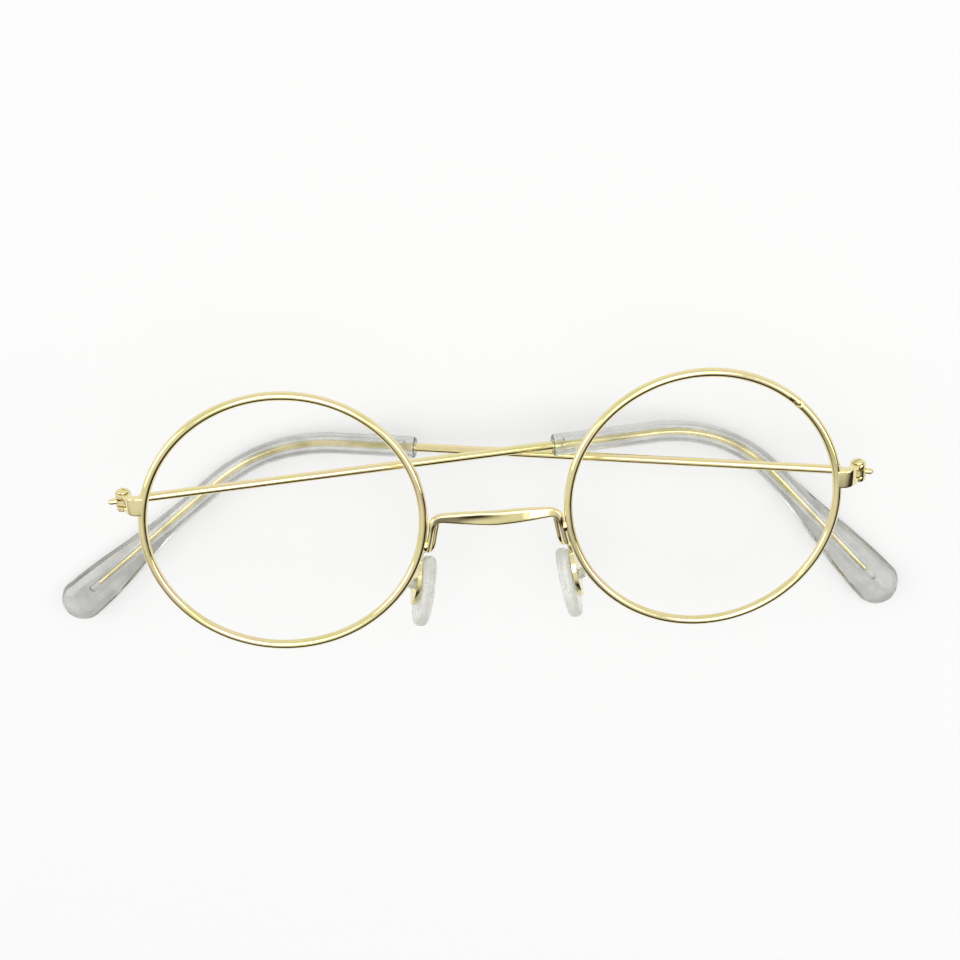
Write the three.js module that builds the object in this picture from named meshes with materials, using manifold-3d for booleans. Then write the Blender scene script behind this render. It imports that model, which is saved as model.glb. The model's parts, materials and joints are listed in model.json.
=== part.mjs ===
// Round wire spectacles without lenses, lying folded on a table with the front uppermost.
// Millimetres. +X points to the wearer's left, +Y to the wearer's brow and +Z up from the table.
// The origin is under the middle of the folded pair, on the table.
import * as THREE from 'three';
import { mergeVertices } from 'three/addons/utils/BufferGeometryUtils.js';
import Module from 'manifold-3d';

// Rims
const wireDiameter = 1.5;
const rimHeight = 45;
const rightRimWidth = 45.5;
const leftRimWidth = 44.5;
const noseWidth = 23.8;

// Bridge, bent from one wire with its middle pressed flat
const bridgeRise = -0.35;
const bridgeSag = 0.35;
const bridgeLegDrop = 6.5;
const bridgeLegDiameter = 0.8;
const bridgeBend = 1.7;
const bridgeSaddleHeight = 2.65;
const bridgeSaddleDepth = 1.1;
const bridgeBow = 0.9;

// End pieces and hinges
const rightHingeReach = 2.95;
const leftHingeReach = 3.95;
const rightHingeRise = 4.7;
const leftHingeRise = 2.5;
const hingeSetback = 2.55;
const endPieceHeight = 3.1;
const endPieceThickness = 1.5;
const endPieceBend = 0.9;
const barrelHeight = 2.9;
const barrelDiameter = 2.6;
const tongueThickness = 0.9;
const tongueWidth = 1.5;
const tongueReach = 2.2;
const tongueFade = 2.0;
const tongueSlotDiameter = 4.3;
const tailDiameter = 1.0;
const tailReach = 2.6;
const screwDiameter = 0.9;
const screwHeadDiameter = 2.0;
const screwHeadHeight = 0.4;

// Temples, from the hinge pin to the bend behind the ear and on to the tip
const templeBend = 13;
const coreDiameter = 1.15;
const sleeveDiameter = 3.7;
const sleeveSpread = 33;
const sleeveTipWidth = 7.9;
const sleeveTipShift = 0.35;
const sleeveTipThickness = 3.3;
const sleeveBoreSpare = 2.5;

// How far each temple stands off the front when folded and leans towards the brow, in degrees
const rightFold = 9.3;
const leftFold = 15.5;
const rightLean = 0.25;
const leftLean = -0.15;

// How each temple is bent by hand: pin to bend, bend to tip, the hook's drop in degrees, and the sleeve's place
const rightReach = 103;
const leftReach = 102.6;
const rightHookLength = 45.3;
const leftHookLength = 53.7;
const rightHookDrop = 48.2;
const leftHookDrop = 40.3;
const rightSleeveStart = 72.1;
const leftSleeveStart = 75.6;
const rightCoreStop = 7.4;
const leftCoreStop = 9.3;

// Nose pads on their arms
const padSpacing = 24.7;
const padDrop = 16.6;
const padSetback = 5.2;
const padSplay = 11.5;
const padTurn = 9;
const padLength = 13.1;
const padWidth = 7.0;
const padThickness = 2.2;
const studDiameter = 1.5;
const studHeadDiameter = 2.1;
const studHeadHeight = 0.7;
const studSlot = 0.45;
const studRise = 1.3;
const armWidth = 0.7;
const armThickness = 0.75;
const armBend = 1.6;
const armLead = 2.4;
const plateThickness = 0.7;
const plateWidth = 4.2;
const plateTop = 4.6;
const platePoint = 4.2;

// Clearances
const seatGap = 0.2;
const runningGap = 0.08;
const slideGap = 0.15;
const boreGap = 0.2;

// Facets
const wireSides = 10;
const sleeveSides = 16;
const pinSides = 24;
const rimSteps = 72;

const wasm = await Module();
wasm.setup();

const radians = THREE.MathUtils.degToRad;
const wireRadius = wireDiameter / 2;

const gold = new THREE.MeshStandardMaterial({ color: 0xd8bf72, roughness: 0.22, metalness: 1 });
const screwMetal = new THREE.MeshStandardMaterial({ color: 0xcdb566, roughness: 0.3, metalness: 1 });
const clearPlastic = new THREE.MeshStandardMaterial({
  color: 0xdcdfda,
  roughness: 0.12,
  metalness: 0,
  transparent: true,
  opacity: 0.5,
});
const milkyPlastic = new THREE.MeshStandardMaterial({
  color: 0xe6eae5,
  roughness: 0.35,
  metalness: 0,
  transparent: true,
  opacity: 0.75,
});

// Turns a closed three.js geometry into a solid that can be joined and cut
function solidOf(geometry) {
  const bare = geometry.clone();
  bare.deleteAttribute('normal');
  bare.deleteAttribute('uv');
  const merged = mergeVertices(bare, 1e-5);
  return new wasm.Manifold(
    new wasm.Mesh({
      numProp: 3,
      vertProperties: new Float32Array(merged.attributes.position.array),
      triVerts: new Uint32Array(merged.index.array),
    }),
  );
}

// Turns a joined and cut solid back into a geometry
function geometryOf(solid) {
  const mesh = solid.getMesh();
  const geometry = new THREE.BufferGeometry();
  geometry.setAttribute('position', new THREE.BufferAttribute(mesh.vertProperties, 3));
  geometry.setIndex(new THREE.BufferAttribute(mesh.triVerts, 1));
  geometry.computeVertexNormals();
  return geometry;
}

// The largest piece of a solid that a cut may have parted
function largest(solid) {
  return solid.decompose().reduce((a, b) => (a.volume() > b.volume() ? a : b));
}

function named(name, geometry, material) {
  const mesh = new THREE.Mesh(geometry, material);
  mesh.name = name;
  return mesh;
}

// Straight runs between the points, with each corner rounded from `cut` before it to `cut` after it
function roundedPath(points, cut) {
  const path = new THREE.CurvePath();
  let from = points[0];
  for (let i = 1; i + 1 < points.length; i++) {
    const corner = points[i];
    const before = corner.clone().sub(points[i - 1]).setLength(-cut).add(corner);
    const after = corner.clone().sub(points[i + 1]).setLength(-cut).add(corner);
    path.add(new THREE.LineCurve3(from, before));
    path.add(new THREE.QuadraticBezierCurve3(before, corner, after));
    from = after;
  }
  path.add(new THREE.LineCurve3(from, points[points.length - 1]));
  return path;
}

// So many even steps from one distance along a path to another, both ends included
function steps(from, to, count) {
  return Array.from({ length: count + 1 }, (_, i) => from + ((to - from) * i) / count);
}

// The unit outline of a round section
function roundOutline(sides) {
  return steps(0, 2 * Math.PI, sides)
    .slice(0, sides)
    .map((angle) => new THREE.Vector2(Math.cos(angle), Math.sin(angle)));
}

// The unit outline of a strip with its edges broken
function stripOutline() {
  const broken = 0.7;
  const quarter = [new THREE.Vector2(1, broken), new THREE.Vector2(broken, 1)];
  return [0, 1, 2, 3].flatMap((turn) =>
    quarter.map((point) => point.clone().rotateAround(new THREE.Vector2(), (turn * Math.PI) / 2)),
  );
}

// The unit outline of a nose pad, wider at its far end
function padOutline(sides) {
  const taper = 0.16;
  return roundOutline(sides).map((point) => new THREE.Vector2(point.x, point.y * (1 + taper * point.x)));
}

// Solid swept along a path. `distances` are the places of its rings, `facing` is the way that the section's
// depth points, and `size` gives the section's width and depth at a distance, and its shift to one side.
function sweep(path, distances, outline, facing, size) {
  const length = path.getLength();
  const points = distances.flatMap((distance) => {
    const place = Math.min(distance / length, 1);
    const centre = path.getPoint(place);
    const along = path.getTangent(place);
    const across = new THREE.Vector3().crossVectors(along, facing).normalize();
    const out = new THREE.Vector3().crossVectors(across, along);
    const { width, depth, shift = 0 } = size(distance);
    return outline.map((point) =>
      centre
        .clone()
        .addScaledVector(across, shift + (point.x * width) / 2)
        .addScaledVector(out, (point.y * depth) / 2),
    );
  });
  const count = outline.length;
  const last = points.length - count;
  const faces = [];
  for (let ring = 0; ring < last; ring += count) {
    for (let i = 0; i < count; i++) {
      const a = ring + i;
      const b = ring + ((i + 1) % count);
      faces.push(a, a + count, b, b, a + count, b + count);
    }
  }
  for (let i = 1; i + 1 < count; i++) {
    faces.push(0, i, i + 1, last, last + i + 1, last + i);
  }
  const geometry = new THREE.BufferGeometry();
  geometry.setFromPoints(points);
  geometry.setIndex(faces);
  return geometry;
}

// Round bar along Y, centred on `y`
function uprightBar(diameter, height, y, sides = pinSides) {
  return new THREE.CylinderGeometry(diameter / 2, diameter / 2, height, sides).translate(0, y, 0);
}

// Where a rim's wire crosses the level of its middle, on its outer side and on its nose side
function rimEnds(side) {
  const inner = noseWidth / 2;
  const outer = inner + (side < 0 ? rightRimWidth : leftRimWidth);
  return { inner: side * inner, outer: side * outer };
}

// How far a hinge pin stands from the middle of the nose
function pinReach(side) {
  return Math.abs(rimEnds(side).outer) + (side < 0 ? rightHingeReach : leftHingeReach);
}

// One rim, a ring of round wire that is bent very nearly to a circle
function rimGeometry(side, extra = 0) {
  const { outer, inner } = rimEnds(side);
  const stretch = Math.abs(outer - inner) / rimHeight;
  const ring = new THREE.TorusGeometry(rimHeight / 2, wireRadius + extra, wireSides, rimSteps);
  return ring.scale(stretch, 1, 1).translate((outer + inner) / 2, 0, 0);
}

// Half the rim's width at a height, and the place of its middle
function rimAt(side, y) {
  const { outer, inner } = rimEnds(side);
  const share = Math.sqrt(1 - ((2 * y) / rimHeight) ** 2);
  return { middle: (outer + inner) / 2, half: (Math.abs(outer - inner) / 2) * share };
}

// Where the middle of something lies that leans on the nose side of a rim at a height
function noseSide(side, y, thickness) {
  const { middle, half } = rimAt(side, y);
  return middle - side * (half + wireRadius + seatGap + thickness / 2);
}

// The bridge: two legs brazed to the rims and a saddle between them, thicker all round by `extra`
function bridgeGeometry(extra = 0) {
  const foot = (side) => new THREE.Vector3(noseSide(side, bridgeLegDrop, bridgeLegDiameter), -bridgeLegDrop, 0);
  const corner = (side) => new THREE.Vector3(noseSide(side, 0, wireDiameter), bridgeRise, bridgeBow / 3);
  const middle = new THREE.Vector3(0, bridgeRise - bridgeSag, bridgeBow);
  const path = roundedPath([foot(-1), corner(-1), middle, corner(1), foot(1)], bridgeBend);
  const length = path.getLength();
  const half = length / 2;
  const legEnd = foot(1).distanceTo(corner(1));
  const size = (distance) => {
    const fromMiddle = Math.abs(distance - half);
    const flat = 1 - Math.min(fromMiddle / (half - legEnd), 1) ** 2;
    const leg = THREE.MathUtils.smoothstep(fromMiddle, half - legEnd, half - legEnd / 2);
    const round = THREE.MathUtils.lerp(wireDiameter, bridgeLegDiameter, leg);
    return {
      width: THREE.MathUtils.lerp(round, bridgeSaddleHeight, flat) + 2 * extra,
      depth: THREE.MathUtils.lerp(round, bridgeSaddleDepth, flat) + 2 * extra,
    };
  };
  return sweep(path, steps(0, length, 44), roundOutline(wireSides), new THREE.Vector3(0, 0, 1), size);
}

// The end piece on one rim: a bent strip that ends in two knuckles with a slot between them
function makeEndPiece(name, side, hingeRise) {
  const tongueSlot = Math.max(tongueThickness, tailDiameter) + 2 * slideGap;
  const { middle, half } = rimAt(side, hingeRise);
  const rimX = side * middle + half;
  const pinX = pinReach(side);
  const strip = roundedPath(
    [
      new THREE.Vector3(side * rimX, hingeRise, 0),
      new THREE.Vector3((side * (rimX + pinX)) / 2, hingeRise, 0),
      new THREE.Vector3(side * pinX, hingeRise, -hingeSetback),
    ],
    endPieceBend,
  );
  const length = strip.getLength();
  const rings = steps(0, length, 10);
  const size = (distance) => {
    const taper = THREE.MathUtils.smoothstep(distance, length / 3, length - barrelDiameter / 2);
    return { width: endPieceThickness, depth: THREE.MathUtils.lerp(endPieceHeight, barrelHeight, taper) };
  };
  const stripGeometry = sweep(strip, rings, stripOutline(), new THREE.Vector3(0, 1, 0), size);
  const pin = (geometry) => solidOf(geometry.translate(side * pinX, 0, -hingeSetback));
  const piece = solidOf(stripGeometry)
    .add(pin(uprightBar(barrelDiameter, barrelHeight, hingeRise)))
    .subtract(pin(uprightBar(tongueSlotDiameter, tongueSlot, hingeRise)))
    .subtract(pin(uprightBar(screwDiameter + 2 * runningGap, 2 * endPieceHeight, hingeRise)))
    .subtract(solidOf(rimGeometry(side, seatGap)));
  return named(name, geometryOf(largest(piece)), gold);
}

// The screw that holds the tongue between the knuckles, with its head on the brow side
function makeScrew(name, side, hingeRise) {
  const top = barrelHeight / 2 + runningGap;
  const profile = [
    new THREE.Vector2(0, -barrelHeight / 2),
    new THREE.Vector2(screwDiameter / 2, -barrelHeight / 2),
    new THREE.Vector2(screwDiameter / 2, top),
    new THREE.Vector2(screwHeadDiameter / 2, top),
    new THREE.Vector2(screwHeadDiameter / 2, top + screwHeadHeight / 2),
    new THREE.Vector2(screwHeadDiameter / 3, top + screwHeadHeight * 0.9),
    new THREE.Vector2(0, top + screwHeadHeight),
  ];
  const screw = named(name, new THREE.LatheGeometry(profile, pinSides), screwMetal);
  screw.position.set(side * pinReach(side), hingeRise, -hingeSetback);
  return screw;
}

// Places a nose pad's own axes in the front: X out through the stud, Y up its length
function padFrame(side) {
  const frame = new THREE.Group();
  frame.position.set((side * padSpacing) / 2, -padDrop, -padSetback);
  frame.rotation.set(0, side > 0 ? -radians(padTurn) : Math.PI + radians(padTurn), side * radians(padSplay), 'ZYX');
  frame.updateMatrix();
  return frame;
}

// The pad: an oval cushion with a flat bearing face, and a split stud that snaps through the arm's plate
function makePad(name) {
  const face = -padThickness / 2;
  const back = padThickness / 2;
  const edge = 0.8;
  const cushionPath = new THREE.LineCurve3(new THREE.Vector3(face, 0, 0), new THREE.Vector3(back, 0, 0));
  const bulge = (distance) => {
    const rise = Math.min(distance / padThickness, 1 - distance / padThickness) / 0.4;
    return 2 * edge * (1 - Math.sqrt(1 - (1 - Math.min(rise, 1)) ** 2));
  };
  const size = (distance) => ({ width: padLength - bulge(distance), depth: padWidth - bulge(distance) });
  const rings = steps(0, padThickness, 8);
  const cushion = sweep(cushionPath, rings, padOutline(28), new THREE.Vector3(0, 0, 1), size);
  const neckEnd = back + plateThickness + 3 * slideGap;
  const stud = new THREE.LatheGeometry(
    [
      new THREE.Vector2(0, 0),
      new THREE.Vector2(studDiameter / 2, 0),
      new THREE.Vector2(studDiameter / 2, neckEnd),
      new THREE.Vector2(studHeadDiameter / 2, neckEnd),
      new THREE.Vector2(studHeadDiameter / 2.6, neckEnd + studHeadHeight),
      new THREE.Vector2(0, neckEnd + studHeadHeight),
    ],
    pinSides,
  );
  const split = new THREE.BoxGeometry(2 * studHeadHeight, studSlot, 2 * studHeadDiameter);
  const pad = solidOf(cushion)
    .add(solidOf(stud.rotateZ(-Math.PI / 2).translate(0, studRise, 0)))
    .subtract(solidOf(split.translate(neckEnd + studHeadHeight, studRise, 0)));
  return named(name, geometryOf(pad), milkyPlastic);
}

// The pad arm: a strip from under the bridge's corner, ending in a pointed plate that carries the pad's stud
function makePadArm(name, side, pad) {
  const plate = new THREE.Shape();
  plate.moveTo(-armWidth / 2, studRise + plateTop);
  plate.quadraticCurveTo(-plateWidth / 2, studRise + plateWidth / 2, -plateWidth / 2, studRise);
  plate.quadraticCurveTo(-plateWidth / 2, studRise - platePoint / 2, 0, studRise - platePoint);
  plate.quadraticCurveTo(plateWidth / 2, studRise - platePoint / 2, plateWidth / 2, studRise);
  plate.quadraticCurveTo(plateWidth / 2, studRise + plateWidth / 2, armWidth / 2, studRise + plateTop);
  const hole = new THREE.Path();
  hole.absarc(0, studRise, studDiameter / 2 + runningGap, 0, 2 * Math.PI);
  plate.holes.push(hole);
  const plateX = padThickness / 2 + slideGap;
  const plateGeometry = new THREE.ExtrudeGeometry(plate, {
    depth: plateThickness,
    bevelEnabled: false,
    curveSegments: pinSides / 2,
  });
  plateGeometry.rotateY(Math.PI / 2).translate(plateX, 0, 0).applyMatrix4(pad.matrix);

  const besideLeg = bridgeLegDiameter / 2 + slideGap + armWidth / 2;
  const topX = noseSide(side, 0, bridgeLegDiameter) - side * besideLeg;
  const legX = noseSide(side, bridgeLegDrop, bridgeLegDiameter) - side * besideLeg;
  const join = new THREE.Vector3(plateX + plateThickness / 2, studRise + plateTop - armWidth, 0);
  const above = join.clone().add(new THREE.Vector3(0, armLead, 0));
  const arm = roundedPath(
    [
      new THREE.Vector3(topX, bridgeRise - wireRadius - 2 * seatGap, 0),
      new THREE.Vector3(legX, -bridgeLegDrop, -armThickness / 2),
      above.applyMatrix4(pad.matrix),
      join.applyMatrix4(pad.matrix),
    ],
    armBend,
  );
  const rings = steps(0, arm.getLength(), 24);
  const size = () => ({ width: armWidth, depth: armThickness });
  const strip = sweep(arm, rings, stripOutline(), new THREE.Vector3(0, 0, 1), size);
  const piece = solidOf(strip)
    .add(solidOf(plateGeometry))
    .subtract(solidOf(bridgeGeometry(slideGap)))
    .subtract(solidOf(rimGeometry(side, slideGap)));
  return named(name, geometryOf(largest(piece)), gold);
}

// Where the bend behind the ear lies in the front's own axes
function cornerOf(temple) {
  const run = temple.reach * Math.cos(radians(temple.lean));
  const x = temple.side * (pinReach(temple.side) - run * Math.cos(radians(temple.fold)));
  return new THREE.Vector2(x, -hingeSetback - run * Math.sin(radians(temple.fold)));
}

// The line of a temple in its own axes, with the hinge pin at the origin. The hook turns so that it lies level.
function templePath(temple, frontRoll) {
  const lean = radians(temple.lean);
  const drop = radians(temple.hookDrop);
  const slope = radians(temple.fold) - temple.side * frontRoll;
  const straight = new THREE.Vector3(-temple.side * Math.cos(lean), Math.sin(lean), 0);
  const hook = new THREE.Vector3(
    -temple.side * Math.cos(drop) * Math.cos(slope),
    -Math.sin(drop),
    Math.cos(drop) * Math.sin(slope),
  );
  const corner = straight.multiplyScalar(temple.reach);
  const tip = hook.multiplyScalar(temple.hookLength).add(corner);
  return roundedPath([new THREE.Vector3(), corner, tip], templeBend);
}

// Ring places along a temple from one distance to another: few on the straight, more round the bend
function templeRings(temple, from, to) {
  const bendStart = temple.reach - templeBend;
  const bendEnd = temple.reach + templeBend;
  const rings = [from, ...steps(bendStart, bendEnd, 14), to];
  return rings.filter((distance) => distance >= from && distance <= to);
}

// The temple's wire: a pierced tongue with a tail, the straight wire, and a thinner core inside the sleeve
function makeTempleWire(name, temple, path) {
  const end = path.getLength() - temple.coreStop;
  const shoulder = temple.sleeveStart + wireDiameter;
  const roundFrom = tongueReach + tongueFade;
  const size = (distance) => {
    if (distance >= shoulder) {
      return { width: coreDiameter, depth: coreDiameter };
    }
    const round = THREE.MathUtils.smoothstep(distance, tongueReach, roundFrom);
    return {
      width: THREE.MathUtils.lerp(tongueThickness, wireDiameter, round),
      depth: THREE.MathUtils.lerp(tongueWidth, wireDiameter, round),
    };
  };
  const step = (wireDiameter - coreDiameter) / 2;
  const flat = [tongueThickness / 2, ...steps(tongueReach, roundFrom, 4)];
  const rings = [...flat, shoulder - step, ...templeRings(temple, shoulder, end)];
  const outline = roundOutline(wireSides);
  const wire = sweep(path, rings, outline, new THREE.Vector3(0, 0, 1), size);
  const tailLength = tailReach - tailDiameter / 2;
  const tail = new THREE.CapsuleGeometry(tailDiameter / 2, tailLength, 4, wireSides);
  tail.rotateZ(Math.PI / 2).translate((temple.side * tailLength) / 2, 0, 0);
  const piece = solidOf(wire)
    .add(solidOf(uprightBar(barrelDiameter, tongueThickness, 0)))
    .add(solidOf(tail))
    .subtract(solidOf(uprightBar(screwDiameter + 2 * runningGap, 2 * endPieceHeight, 0)));
  return named(name, geometryOf(piece), gold);
}

// The clear sleeve over the hook: round at its mouth, with a blind bore, and at its tip a flat rounded paddle that is
// fuller on the inside of the bend
function makeSleeve(name, temple, path) {
  const length = path.getLength();
  const hookStart = temple.reach;
  const tipRound = sleeveTipWidth / 2;
  const widest = length - tipRound;
  const lip = 0.4;
  const size = (distance) => {
    const spread = THREE.MathUtils.smoothstep(distance, length - sleeveSpread, widest);
    const mouth = Math.min((distance - temple.sleeveStart) / lip, 1);
    const past = THREE.MathUtils.clamp((distance - widest) / tipRound, 0, 1);
    const close = Math.sqrt(1 - past ** 2);
    const width = THREE.MathUtils.lerp(sleeveDiameter, sleeveTipWidth, spread) * close;
    const depth = THREE.MathUtils.lerp(sleeveDiameter, sleeveTipThickness, spread) * Math.sqrt(close);
    const trim = lip * (1 - mouth);
    return { width: width - trim, depth: depth - trim, shift: -temple.side * sleeveTipShift * spread };
  };
  const tipRings = [0, 0.25, 0.5, 0.7, 0.85, 0.95, 0.995].map((share) => widest + tipRound * share);
  const rings = [
    temple.sleeveStart,
    ...templeRings(temple, temple.sleeveStart + lip, hookStart + templeBend),
    ...steps(hookStart + templeBend, widest, 8).slice(1, -1),
    ...tipRings,
  ];
  const facing = new THREE.Vector3(0, 0, 1);
  const outer = sweep(path, rings, roundOutline(sleeveSides), facing, size);
  const boreDiameter = Math.max(coreDiameter, wireDiameter) + 2 * boreGap;
  const coreBore = coreDiameter + 2 * boreGap;
  const counterbore = temple.sleeveStart + wireDiameter + boreGap;
  const boreSize = (distance) => {
    const bore = distance <= counterbore ? boreDiameter : coreBore;
    return { width: bore, depth: bore };
  };
  const boreRings = [
    temple.sleeveStart - lip,
    counterbore,
    ...templeRings(temple, counterbore + boreGap, length - temple.coreStop + sleeveBoreSpare),
  ];
  const bore = sweep(path, boreRings, roundOutline(wireSides), facing, boreSize);
  return named(name, geometryOf(solidOf(outer).subtract(solidOf(bore))), clearPlastic);
}

// One temple hung on its hinge pin and folded
function makeTemple(prefix, temple, frontRoll) {
  const path = templePath(temple, frontRoll);
  const group = new THREE.Group();
  group.add(makeTempleWire(`${prefix}_temple_wire`, temple, path));
  group.add(makeSleeve(`${prefix}_temple_sleeve`, temple, path));
  group.position.set(temple.side * pinReach(temple.side), temple.rise, -hingeSetback);
  group.rotation.y = -temple.side * radians(temple.fold);
  return group;
}

const temples = {
  right: {
    side: -1,
    rise: rightHingeRise,
    fold: rightFold,
    lean: rightLean,
    reach: rightReach,
    hookDrop: rightHookDrop,
    hookLength: rightHookLength,
    sleeveStart: rightSleeveStart,
    coreStop: rightCoreStop,
  },
  left: {
    side: 1,
    rise: leftHingeRise,
    fold: leftFold,
    lean: leftLean,
    reach: leftReach,
    hookDrop: leftHookDrop,
    hookLength: leftHookLength,
    sleeveStart: leftSleeveStart,
    coreStop: leftCoreStop,
  },
};

// The front rolls a little on the table, because one temple stands off it further than the other
const rightCorner = cornerOf(temples.right);
const leftCorner = cornerOf(temples.left);
const frontRoll = Math.atan2(rightCorner.y - leftCorner.y, rightCorner.x - leftCorner.x);

const front = new THREE.Group();
front.rotation.y = frontRoll;
front.add(named('bridge', bridgeGeometry(), gold));
for (const [prefix, temple] of Object.entries(temples)) {
  const pad = padFrame(temple.side);
  front.add(named(`${prefix}_rim`, rimGeometry(temple.side), gold));
  front.add(makeEndPiece(`${prefix}_end_piece`, temple.side, temple.rise));
  front.add(makeScrew(`${prefix}_hinge_screw`, temple.side, temple.rise));
  front.add(makePadArm(`${prefix}_pad_arm`, temple.side, pad));
  pad.add(makePad(`${prefix}_nose_pad`));
  front.add(pad);
  front.add(makeTemple(prefix, temple, frontRoll));
}

const glasses = new THREE.Group();
glasses.add(front);
const box = new THREE.Box3().setFromObject(glasses, true);
front.position.set(-(box.min.x + box.max.x) / 2, -(box.min.y + box.max.y) / 2, -box.min.z);

export default glasses;
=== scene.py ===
"""Round wire costume glasses, folded on a pale floor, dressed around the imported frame.

Sizes are millimetres in the front's own axes: X to the wearer's left, Y to the brow and Z out of the front.
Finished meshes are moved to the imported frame, in metres.
"""

from __future__ import annotations

import json
import logging
import math
from dataclasses import dataclass
from enum import Enum
from typing import Sequence

import bmesh
import bpy
from mathutils import Matrix, Vector

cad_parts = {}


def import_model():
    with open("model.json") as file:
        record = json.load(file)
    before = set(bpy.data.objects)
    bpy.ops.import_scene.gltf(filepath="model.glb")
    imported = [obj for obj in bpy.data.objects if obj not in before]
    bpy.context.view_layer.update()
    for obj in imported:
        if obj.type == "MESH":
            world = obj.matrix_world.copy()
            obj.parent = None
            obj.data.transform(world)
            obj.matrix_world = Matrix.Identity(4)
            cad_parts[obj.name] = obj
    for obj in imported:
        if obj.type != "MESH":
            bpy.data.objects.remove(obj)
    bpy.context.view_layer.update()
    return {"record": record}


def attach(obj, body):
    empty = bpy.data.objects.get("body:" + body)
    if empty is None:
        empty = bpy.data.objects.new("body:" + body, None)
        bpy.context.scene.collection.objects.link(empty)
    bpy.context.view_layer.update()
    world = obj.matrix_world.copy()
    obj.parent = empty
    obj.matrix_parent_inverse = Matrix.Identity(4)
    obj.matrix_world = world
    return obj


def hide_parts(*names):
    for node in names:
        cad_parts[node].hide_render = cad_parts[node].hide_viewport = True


LOG = logging.getLogger("glasses")
MILLIMETRE = 0.001
TOWARDS_VIEWER = Vector((0.0, 0.0, 1.0))
TOWARDS_BROW = Vector((0.0, 1.0, 0.0))
CLEAR_RAYS = ("Is Camera Ray", "Is Transmission Ray")
VISIBLE_RAYS = (*CLEAR_RAYS, "Is Glossy Ray")
MERGE_REACH = 1e-5
THINNEST = 1e-3
SHORTEST = 1e-9
BREAK_ANGLE = math.radians(38.0)
SHARP_ANGLE = math.radians(50.0)
PIN_SIDES = 40
Stops = Sequence[tuple[float, tuple[float, ...]]]


class Side(Enum):
    """Which of the wearer's sides a piece is on; the value is the sign of its X."""

    RIGHT = -1
    LEFT = 1

    @property
    def prefix(self) -> str:
        """The start of the names of the pieces on this side."""
        return self.name.lower()


def smooth_step(value: float, low: float, high: float) -> float:
    """Rises smoothly from 0 at low to 1 at high.

    Args:
        value: Where to read the curve.
        low: Where it leaves 0.
        high: Where it reaches 1.

    Returns:
        A share from 0 to 1.
    """
    share = min(max((value - low) / (high - low), 0.0), 1.0)
    return share * share * (3.0 - 2.0 * share)


def mix(a: float, b: float, share: float) -> float:
    """The number that lies the given share of the way from a to b."""
    return a + (b - a) * share


def even_steps(start: float, end: float, count: int) -> list[float]:
    """Count even steps from start to end, with both ends included."""
    return [mix(start, end, i / count) for i in range(count + 1)]


class WirePath:
    """The centre line of a wire: straight runs whose corners are rounded."""

    def __init__(self, points: Sequence[Vector], cut: float, curve_steps: int = 32) -> None:
        """Lays the line through the points.

        Args:
            points: The ends of the line and its corners.
            cut: How far before and after a corner its rounding reaches.
            curve_steps: Steps round each corner.
        """
        self.line: list[Vector] = [points[0].copy()]
        for before, corner, after in zip(points, points[1:], points[2:]):
            start = corner + (before - corner).normalized() * cut
            end = corner + (after - corner).normalized() * cut
            for share in even_steps(0.0, 1.0, curve_steps):
                self.line.append(start.lerp(corner, share).lerp(corner.lerp(end, share), share))
        self.line.append(points[-1].copy())
        self.marks: list[float] = [0.0]
        for a, b in zip(self.line, self.line[1:]):
            self.marks.append(self.marks[-1] + (b - a).length)

    @property
    def length(self) -> float:
        """The length of the whole line."""
        return self.marks[-1]

    def point(self, distance: float) -> Vector:
        """Finds a place on the line, which runs straight on before its start and past its end.

        Args:
            distance: How far along the line.

        Returns:
            The place.
        """
        last = len(self.marks) - 2
        index = 0
        while index < last and self.marks[index + 1] < distance:
            index += 1
        span = max(self.marks[index + 1] - self.marks[index], SHORTEST)
        return self.line[index].lerp(self.line[index + 1], (distance - self.marks[index]) / span)

    def section(self, distance: float, facing: Vector, width: float, depth: float) -> Matrix:
        """The matrix that places a unit circle as the wire's cross-section.

        Args:
            distance: Where along the line.
            facing: The way that the section's depth points.
            width: The section's full width.
            depth: The section's full depth.

        Returns:
            The placing matrix, scaled to the section's size.
        """
        reach = 0.05
        along = (self.point(distance + reach) - self.point(distance - reach)).normalized()
        across = along.cross(facing).normalized()
        out = across.cross(along)
        turn = Matrix((across, out, along)).transposed().to_4x4()
        size = Matrix.Diagonal((max(width, THINNEST) / 2, max(depth, THINNEST) / 2, 1.0, 1.0))
        return Matrix.Translation(self.point(distance)) @ turn @ size


def grow_tube(
    bm: bmesh.types.BMesh, sections: Sequence[Matrix], sides: int, squareness: float = 0.0
) -> None:
    """Extrudes a closed tube through placed sections, with a face on each end.

    Args:
        bm: The mesh that gets the tube.
        sections: One matrix for each ring, in order.
        sides: Sides of the section.
        squareness: 0 for a round section, towards 1 for a strip with rounded edges.
    """
    ring = bmesh.ops.create_circle(bm, cap_ends=False, segments=sides, radius=1.0)["verts"]
    for vert in ring:
        for axis in (0, 1):
            vert.co[axis] = math.copysign(abs(vert.co[axis]) ** (1.0 - squareness), vert.co[axis])
    bmesh.ops.transform(bm, matrix=sections[0], verts=ring)
    edges = list({edge for vert in ring for edge in vert.link_edges})
    bmesh.ops.contextual_create(bm, geom=edges)
    for before, after in zip(sections, sections[1:]):
        grown = bmesh.ops.extrude_edge_only(bm, edges=edges)["geom"]
        edges = [item for item in grown if isinstance(item, bmesh.types.BMEdge)]
        verts = [item for item in grown if isinstance(item, bmesh.types.BMVert)]
        bmesh.ops.transform(bm, matrix=after @ before.inverted(), verts=verts)
    bmesh.ops.contextual_create(bm, geom=edges)


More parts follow.
